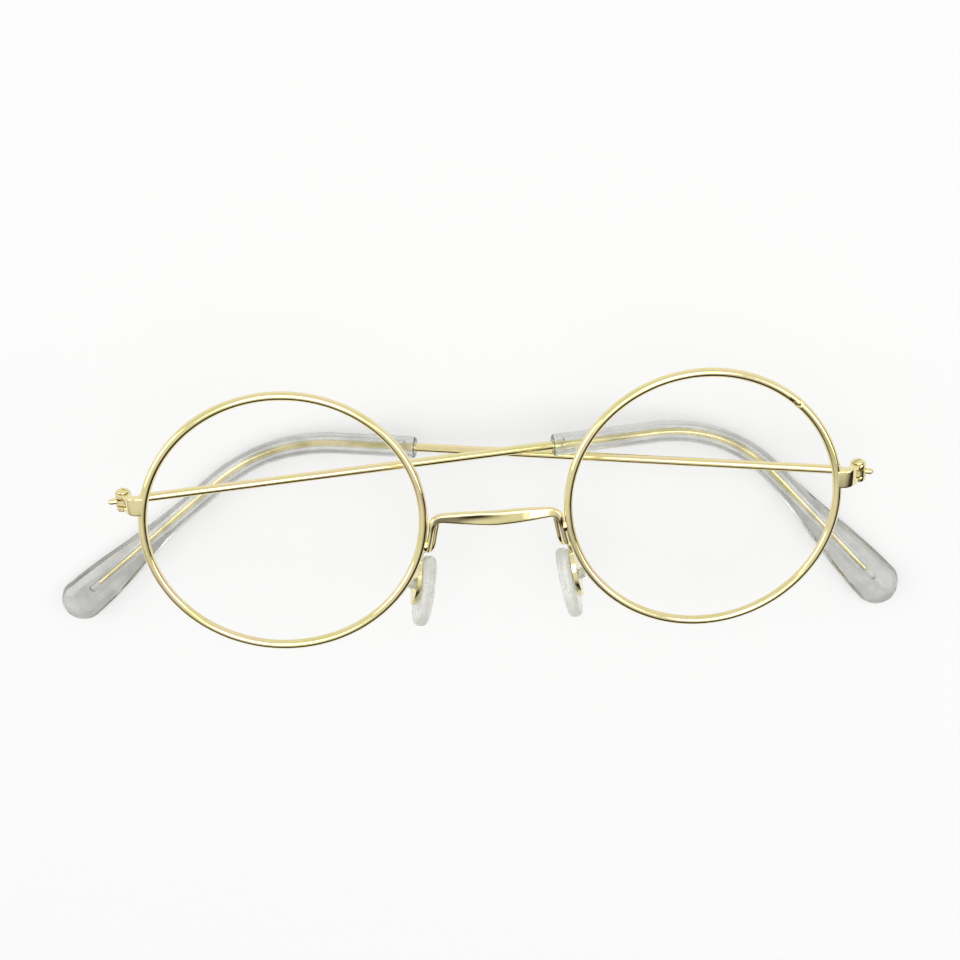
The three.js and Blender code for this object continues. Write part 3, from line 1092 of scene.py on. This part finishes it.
    def arm(self) -> bmesh.types.BMesh:
        """Bends the arm's strip.

        Returns:
            The strip from under the bridge's corner to the plate.
        """
        sizes = self.sizes
        sign = self.side.value
        axes = self.axes()
        beside = sizes.leg / 2 + self.slide_gap + self.arm_width / 2
        top_x = sizes.nose_side(self.side, 0.0, sizes.leg) - sign * beside
        leg_x = sizes.nose_side(self.side, sizes.leg_drop, sizes.leg) - sign * beside
        plate_x = self.thickness / 2 + self.slide_gap + self.plate_thickness / 2
        join = Vector((plate_x, self.stud_rise + self.plate_top - self.arm_width, 0.0))
        above = join + Vector((0.0, self.arm_lead, 0.0))
        path = WirePath(
            [
                Vector((top_x, sizes.bridge_rise - sizes.wire / 2 - 2 * sizes.seat_gap, 0.0)),
                Vector((leg_x, -sizes.leg_drop, -self.arm_thickness / 2)),
                axes @ above,
                axes @ join,
            ],
            self.arm_bend,
        )
        bm = bmesh.new()
        sections = [
            path.section(distance, TOWARDS_VIEWER, self.arm_width, self.arm_thickness)
            for distance in even_steps(0.0, path.length, self.arm_rings)
        ]
        grow_tube(bm, sections, self.arm_sides)
        return bm


@dataclass(frozen=True)
class Temple:
    """One temple: a wire with a pierced tongue and a tail, and a clear sleeve over its hook."""

    sizes: FrontSizes
    side: Side
    fold: float
    lean: float
    reach: float
    hook_length: float
    hook_drop: float
    sleeve_start: float
    core_stop: float
    bend: float = 13.0
    core: float = 1.15
    sleeve: float = 3.7
    spread: float = 33.0
    tip_width: float = 7.9
    tip_shift: float = 0.35
    tip_thickness: float = 3.3
    bore_spare: float = 2.5
    bore_gap: float = 0.2
    lip: float = 0.4
    edge: float = 0.1
    tongue_thickness: float = 0.9
    tongue_width: float = 1.5
    tongue_reach: float = 2.2
    tongue_fade: float = 2.0
    tail: float = 1.0
    tail_reach: float = 2.55
    tail_point: float = 0.72
    straight_lead: float = 1.0
    core_taper: float = 0.3
    mouth_flare: float = 0.1
    tip_end: float = 0.985
    tail_rings: int = 8
    fade_rings: int = 10
    straight_rings: int = 30
    bend_rings: int = 40
    bore_rings: int = 5
    lip_rings: int = 4
    hook_rings: int = 24
    tip_rings: int = 24
    wire_sides: int = 24
    sleeve_sides: int = 80

    def axes(self) -> Matrix:
        """The folded temple's own axes in the front, with the hinge pin at the origin."""
        turn = Matrix.Rotation(-self.side.value * math.radians(self.fold), 4, "Y")
        return Matrix.Translation(self.sizes.pin(self.side)) @ turn

    def path(self, front_roll: float) -> WirePath:
        """The wire's centre line in the temple's own axes, from the pin to the tip.

        Args:
            front_roll: How far the front rolls on the table, so that the hook can lie level.

        Returns:
            The line.
        """
        sign = self.side.value
        lean = math.radians(self.lean)
        drop = math.radians(self.hook_drop)
        slope = math.radians(self.fold) - sign * front_roll
        straight = Vector((-sign * math.cos(lean), math.sin(lean), 0.0))
        hook = Vector(
            (
                -sign * math.cos(drop) * math.cos(slope),
                -math.sin(drop),
                math.cos(drop) * math.sin(slope),
            )
        )
        corner = straight * self.reach
        return WirePath([Vector((0.0, 0.0, 0.0)), corner, corner + hook * self.hook_length], self.bend)

    def bend_steps(self, start: float, end: float) -> list[float]:
        """Ring places from start to end: few on the straight, more round the bend."""
        bend = even_steps(self.reach - self.bend, self.reach + self.bend, self.bend_rings)
        return [start, *(place for place in bend if start < place < end), end]

    def build(self, bench: Workbench, finishes: Finishes, front_roll: float) -> None:
        """Makes the wire and the sleeve and hangs them on the temple's body.

        Args:
            bench: Makes and places the pieces.
            finishes: The finishes to choose from.
            front_roll: How far the front rolls on the table.
        """
        prefix = self.side.prefix
        body = f"{prefix}_temple"
        path = self.path(front_roll)
        wire = bench.solid(f"{prefix}_temple_bent_wire", self.wire(path))
        for diameter, height, operation in (
            (self.sizes.barrel, self.tongue_thickness, "UNION"),
            (self.sizes.screw + 2 * self.sizes.running_gap, 4 * self.tongue_thickness, "DIFFERENCE"),
        ):
            bar = round_bar(diameter, height, Vector((0.0, 0.0, 0.0)))
            bench.combine(wire, bench.solid("tongue_tool", bar), operation)
        bench.finish(wire, self.axes(), finishes.gold, body, f"{prefix}_temple_wire")
        sleeve = bench.solid(f"{prefix}_temple_clear_sleeve", self.sleeve_solid(path))
        bench.finish(sleeve, self.axes(), finishes.sleeve, body, f"{prefix}_temple_sleeve")

    def wire(self, path: WirePath) -> bmesh.types.BMesh:
        """Grows the wire.

        Args:
            path: The temple's centre line.

        Returns:
            The wire from its tail, through the tongue, to the end of its core.
        """
        wire = self.sizes.wire
        end = path.length - self.core_stop
        shoulder = self.sleeve_start + wire
        round_from = self.tongue_reach + self.tongue_fade
        step = (wire - self.core) / 2
        tip = -self.tail_reach
        tail = self.tail
        stations: list[tuple[float, float, float]] = []
        for share in even_steps(0.0, 1.0, self.tail_rings):
            angle = share * math.pi / 2
            swell = tail * mix(self.tail_point, 1.0, share) * math.sin(angle)
            stations.append((tip + tail / 2 * (1.0 - math.cos(angle)), swell, swell))
        stations.append((-self.sizes.barrel / 2, tail, tail))
        stations.append((0.0, self.tongue_thickness, self.tongue_width))
        for distance in even_steps(self.tongue_reach, round_from, self.fade_rings):
            share = smooth_step(distance, self.tongue_reach, round_from)
            stations.append(
                (distance, mix(self.tongue_thickness, wire, share), mix(self.tongue_width, wire, share))
            )
        straight_end = shoulder - step - self.edge
        straight = even_steps(round_from + self.straight_lead, straight_end, self.straight_rings)
        for distance in [*straight, shoulder - step]:
            stations.append((distance, wire, wire))
        core = self.bend_steps(shoulder + self.edge, end - 3 * self.edge)
        for distance in [shoulder, *core, end - 2 * self.edge]:
            stations.append((distance, self.core, self.core))
        core_end = self.core - self.core_taper
        stations.append((end, core_end, core_end))
        bm = bmesh.new()
        sections = [path.section(place, TOWARDS_VIEWER, width, depth) for place, width, depth in stations]
        grow_tube(bm, sections, self.wire_sides)
        return bm

    def sleeve_solid(self, path: WirePath) -> bmesh.types.BMesh:
        """Grows the sleeve in one skin: up its blind bore to the mouth, over the lip and on to the tip.

        Args:
            path: The temple's centre line.

        Returns:
            The sleeve, closed at its tip.
        """
        wire = self.sizes.wire
        length = path.length
        tip_round = self.tip_width / 2
        widest = length - tip_round
        wide_bore = wire + 2 * self.bore_gap
        core_bore = self.core + 2 * self.bore_gap
        counterbore = self.sleeve_start + wire + self.bore_gap
        bore_end = length - self.core_stop + self.bore_spare
        stations: list[tuple[float, float, float]] = []
        for share in even_steps(0.0, 1.0, self.bore_rings):
            angle = share * math.pi / 2
            bore = core_bore * math.sin(angle)
            stations.append((bore_end - core_bore / 2 * (1.0 - math.cos(angle)), bore, bore))
        narrow = counterbore + self.bore_gap
        for distance in [*reversed(self.bend_steps(narrow + self.edge, bore_end - core_bore)), narrow]:
            stations.append((distance, core_bore, core_bore))
        for distance in (counterbore, counterbore - self.edge, self.sleeve_start + self.lip / 2):
            stations.append((distance, wide_bore, wide_bore))
        mouth = wide_bore + self.mouth_flare
        stations.append((self.sleeve_start, mouth, mouth))
        for share in even_steps(0.0, 1.0, self.lip_rings):
            angle = share * math.pi / 2
            trim = self.lip * (1.0 - math.sin(angle))
            width = self.sleeve - trim
            stations.append((self.sleeve_start + self.lip * (1.0 - math.cos(angle)), width, width))
        body = self.bend_steps(self.sleeve_start + 2 * self.lip, self.reach + self.bend)
        body += even_steps(self.reach + self.bend, widest, self.hook_rings)[1:-1]
        tip_shares = even_steps(0.0, self.tip_end, self.tip_rings)
        body += [widest + tip_round * math.sin(share * math.pi / 2) for share in tip_shares]
        sections = [path.section(place, TOWARDS_VIEWER, width, depth) for place, width, depth in stations]
        for distance in body:
            spread = smooth_step(distance, length - self.spread, widest)
            past = min(max((distance - widest) / tip_round, 0.0), 1.0)
            close = math.sqrt(1.0 - past**2)
            width = mix(self.sleeve, self.tip_width, spread) * close
            depth = mix(self.sleeve, self.tip_thickness, spread) * math.sqrt(close)
            section = path.section(distance, TOWARDS_VIEWER, width, depth)
            across = section.col[0].to_3d().normalized()
            shift = -self.side.value * self.tip_shift * spread
            sections.append(Matrix.Translation(across * shift) @ section)
        bm = bmesh.new()
        grow_tube(bm, sections, self.sleeve_sides)
        return bm


@dataclass(frozen=True)
class Studio:
    """The pale floor, the light and the camera."""

    floor_size: float = 4.0
    floor_gap: float = 0.0002
    floor_white: float = 0.92
    floor_share: float = 0.55
    fade_start: float = 0.25
    fade_end: float = 0.8
    floor_grey: float = 0.9
    room_dark: tuple[float, float, float, float] = (0.025, 0.022, 0.016, 1.0)
    room_bright: tuple[float, float, float, float] = (0.84, 0.84, 0.83, 1.0)
    dark_until: float = 0.33
    bright_from: float = 0.57
    bright_side: tuple[float, float, float] = (-0.3, 0.8, 0.52)
    clip_start: float = 0.01
    lens: float = 67.92
    sensor: float = 36.0
    distance: float = 293.85
    target: tuple[float, float, float] = (-2.3884, 5.8964, 0.0)
    swing: float = -0.0419
    tip: float = 0.4347
    roll: float = -0.0392

    def build(self, front: Matrix) -> None:
        """Sets up the floor, the light, the surroundings and the camera.

        Args:
            front: The front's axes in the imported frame, in metres.
        """
        scene = bpy.context.scene
        scene.view_settings.view_transform = "Standard"
        self.build_floor()
        self.build_world(scene)
        self.build_lamps()
        self.build_camera(scene, front)

    def build_floor(self) -> None:
        """Lays the white floor, which keeps a faint shadow.

        The camera sees the white surroundings through part of it, and through all of it far away, so that
        the floor has no hard edge and a temple that swings below the table still shows.
        """
        bm = bmesh.new()
        bmesh.ops.create_grid(bm, x_segments=1, y_segments=1, size=self.floor_size / 2)
        mesh = bpy.data.meshes.new("floor")
        bm.to_mesh(mesh)
        bm.free()
        floor = bpy.data.objects.new("floor", mesh)
        floor.location.z = -self.floor_gap
        bpy.context.scene.collection.objects.link(floor)
        material = bpy.data.materials.new("white_floor")
        material.use_nodes = True
        tree = material.node_tree
        tree.nodes.clear()
        output = tree.nodes.new("ShaderNodeOutputMaterial")
        plain = tree.nodes.new("ShaderNodeBsdfDiffuse")
        plain.inputs["Color"].default_value = (self.floor_grey, self.floor_grey, self.floor_grey, 1.0)
        white = tree.nodes.new("ShaderNodeEmission")
        white.inputs["Strength"].default_value = self.floor_white
        clear = tree.nodes.new("ShaderNodeBsdfTransparent")
        camera_ray = self.rays(tree, ["Is Camera Ray"])
        near = self.join(tree, "MULTIPLY", self.rays(tree, VISIBLE_RAYS), self.floor_share)
        far = self.join(tree, "MULTIPLY", camera_ray, self.distance_fade(tree, 0.0))
        tree.links.new(self.distance_fade(tree, self.floor_white), clear.inputs["Color"])
        shown = self.blend(tree, camera_ray, white.outputs[0], clear.outputs[0])
        share = self.join(tree, "MAXIMUM", near, far)
        tree.links.new(self.blend(tree, share, plain.outputs[0], shown), output.inputs["Surface"])
        mesh.materials.append(material)

    def distance_fade(self, tree: bpy.types.NodeTree, near: float) -> bpy.types.NodeSocket:
        """Fades a number with the distance from the floor's middle.

        Args:
            tree: The nodes that get the fade.
            near: The number at the middle.

        Returns:
            A socket that rises from the near number to 1 far away.
        """
        place = tree.nodes.new("ShaderNodeTexCoord")
        away = tree.nodes.new("ShaderNodeVectorMath")
        away.operation = "LENGTH"
        tree.links.new(place.outputs["Object"], away.inputs[0])
        fade = tree.nodes.new("ShaderNodeMapRange")
        fade.interpolation_type = "SMOOTHSTEP"
        fade.inputs["From Min"].default_value = self.fade_start
        fade.inputs["From Max"].default_value = self.fade_end
        fade.inputs["To Min"].default_value = near
        tree.links.new(away.outputs["Value"], fade.inputs["Value"])
        return fade.outputs["Result"]

    @staticmethod
    def join(
        tree: bpy.types.NodeTree,
        operation: str,
        first: bpy.types.NodeSocket,
        second: bpy.types.NodeSocket | float,
    ) -> bpy.types.NodeSocket:
        """Joins two numbers by an operation of arithmetic.

        Args:
            tree: The nodes that get the operation.
            operation: Its name.
            first: The first number's socket.
            second: The second number or its socket.

        Returns:
            The result's socket.
        """
        node = tree.nodes.new("ShaderNodeMath")
        node.operation = operation
        tree.links.new(first, node.inputs[0])
        if isinstance(second, float):
            node.inputs[1].default_value = second
        else:
            tree.links.new(second, node.inputs[1])
        return node.outputs[0]

    @staticmethod
    def blend(
        tree: bpy.types.NodeTree,
        share: bpy.types.NodeSocket,
        first: bpy.types.NodeSocket,
        second: bpy.types.NodeSocket,
    ) -> bpy.types.NodeSocket:
        """Blends two shaders.

        Args:
            tree: The nodes that get the blend.
            share: How much of the second one shows.
            first: The first shader's socket.
            second: The second shader's socket.

        Returns:
            The blend's socket.
        """
        node = tree.nodes.new("ShaderNodeMixShader")
        tree.links.new(share, node.inputs["Fac"])
        tree.links.new(first, node.inputs[1])
        tree.links.new(second, node.inputs[2])
        return node.outputs["Shader"]

    @classmethod
    def rays(cls, tree: bpy.types.NodeTree, kinds: Sequence[str]) -> bpy.types.NodeSocket:
        """Tells some kinds of rays from the rest.

        Args:
            tree: The nodes that get the test.
            kinds: The kinds' names.

        Returns:
            A socket that is 1 for rays of these kinds.
        """
        path = tree.nodes.new("ShaderNodeLightPath")
        total = path.outputs[kinds[0]]
        for kind in kinds[1:]:
            total = cls.join(tree, "MAXIMUM", total, path.outputs[kind])
        return total

    def build_world(self, scene: bpy.types.Scene) -> None:
        """Surrounds the floor with white for the camera and clear plastic, and a one-sided room for metal.

        Args:
            scene: The scene that gets the surroundings.
        """
        world = bpy.data.worlds.new("studio")
        scene.world = world
        world.use_nodes = True
        tree = world.node_tree
        tree.nodes.clear()
        output = tree.nodes.new("ShaderNodeOutputWorld")
        room = tree.nodes.new("ShaderNodeBackground")
        white = tree.nodes.new("ShaderNodeBackground")
        white.inputs["Color"].default_value = (1.0, 1.0, 1.0, 1.0)
        place = tree.nodes.new("ShaderNodeTexCoord")
        towards = tree.nodes.new("ShaderNodeVectorMath")
        towards.operation = "DOT_PRODUCT"
        towards.inputs[1].default_value = Vector(self.bright_side).normalized()
        half = tree.nodes.new("ShaderNodeMapRange")
        half.inputs["From Min"].default_value = -1.0
        ramp = tree.nodes.new("ShaderNodeValToRGB")
        stops = ramp.color_ramp.elements
        stops[0].position = self.dark_until
        stops[0].color = self.room_dark
        stops[1].position = self.bright_from
        stops[1].color = self.room_bright
        tree.links.new(place.outputs["Generated"], towards.inputs[0])
        tree.links.new(towards.outputs["Value"], half.inputs["Value"])
        tree.links.new(half.outputs["Result"], ramp.inputs["Fac"])
        tree.links.new(ramp.outputs["Color"], room.inputs["Color"])
        seen = self.rays(tree, CLEAR_RAYS)
        tree.links.new(self.blend(tree, seen, room.outputs[0], white.outputs[0]), output.inputs["Surface"])

    @staticmethod
    def build_lamps() -> None:
        """Hangs a large soft lamp over the floor and a smaller one on each of the wearer's sides."""
        for name, place, size, energy in (
            ("top_lamp", (0.1, 0.25, 0.9), 0.7, 3.1),
            ("right_lamp", (-0.7, 0.15, 0.45), 0.45, 1.25),
            ("left_lamp", (0.7, 0.0, 0.62), 0.5, 1.4),
        ):
            lamp = bpy.data.lights.new(name, "AREA")
            lamp.size = size
            lamp.energy = energy
            stand = bpy.data.objects.new(name, lamp)
            stand.location = place
            stand.rotation_mode = "QUATERNION"
            stand.rotation_quaternion = Vector(place).to_track_quat("Z", "Y")
            bpy.context.scene.collection.objects.link(stand)

    def build_camera(self, scene: bpy.types.Scene, front: Matrix) -> None:
        """Stands the camera where it sees the front as it lies.

        Args:
            scene: The scene that gets the camera.
            front: The front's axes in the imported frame, in metres.
        """
        back = Vector(
            (
                math.sin(self.swing) * math.cos(self.tip),
                math.sin(self.tip),
                math.cos(self.swing) * math.cos(self.tip),
            )
        )
        right = TOWARDS_BROW.cross(back).normalized()
        up = back.cross(right)
        turned_right = right * math.cos(self.roll) + up * math.sin(self.roll)
        turned_up = up * math.cos(self.roll) - right * math.sin(self.roll)
        place = (Vector(self.target) + back * self.distance) * MILLIMETRE
        axes = Matrix((turned_right, turned_up, back)).transposed().to_4x4()
        data = bpy.data.cameras.new("camera")
        data.lens = self.lens
        data.sensor_width = self.sensor
        data.clip_start = self.clip_start
        camera = bpy.data.objects.new("camera", data)
        scene.collection.objects.link(camera)
        camera.matrix_world = front @ Matrix.Translation(place) @ axes
        scene.camera = camera


def front_axes(record: dict, sizes: FrontSizes) -> tuple[Matrix, float]:
    """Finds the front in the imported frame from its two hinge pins.

    Args:
        record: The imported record.
        sizes: The front's sizes.

    Returns:
        The front's axes in metres, and its roll on the table.
    """
    pins = {joint["name"]: Vector(joint["pos_m"]) for joint in record["behaviour"]["joints"]}
    right = pins["right_temple_hinge"]
    left = pins["left_temple_hinge"]
    roll = math.atan2(right.z - left.z, left.x - right.x)
    turn = Matrix.Rotation(roll, 4, "Y")
    origin = right - turn @ (sizes.pin(Side.RIGHT) * MILLIMETRE)
    return Matrix.Translation(origin) @ turn, roll


def main() -> None:
    """Builds the glasses and the studio."""
    logging.basicConfig(level=logging.INFO)
    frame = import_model()
    sizes = FrontSizes()
    front, roll = front_axes(frame["record"], sizes)
    Studio().build(front)
    bench = Workbench(front)
    finishes = Finishes(
        gold=GoldPlate("gold_wire"),
        screw=GoldPlate("hinge_screw", "screw_gold", 0.92),
        sleeve=ClearSleeve("clear_sleeve"),
        pad=MilkyPad("milky_pad"),
    )
    Bridge(sizes).build(bench, finishes)
    for side in Side:
        Rim(sizes, side).build(bench, finishes)
        EndPiece(sizes, side).build(bench, finishes)
        NosePad(sizes, side).build(bench, finishes)
    temples = (
        Temple(
            sizes,
            Side.RIGHT,
            fold=9.3,
            lean=0.25,
            reach=103.0,
            hook_length=45.3,
            hook_drop=48.2,
            sleeve_start=72.1,
            core_stop=7.4,
        ),
        Temple(
            sizes,
            Side.LEFT,
            fold=15.5,
            lean=-0.15,
            reach=102.6,
            hook_length=53.7,
            hook_drop=40.3,
            sleeve_start=75.6,
            core_stop=9.3,
        ),
    )
    for temple in temples:
        temple.build(bench, finishes, roll)


if __name__ == "__main__":
    main()
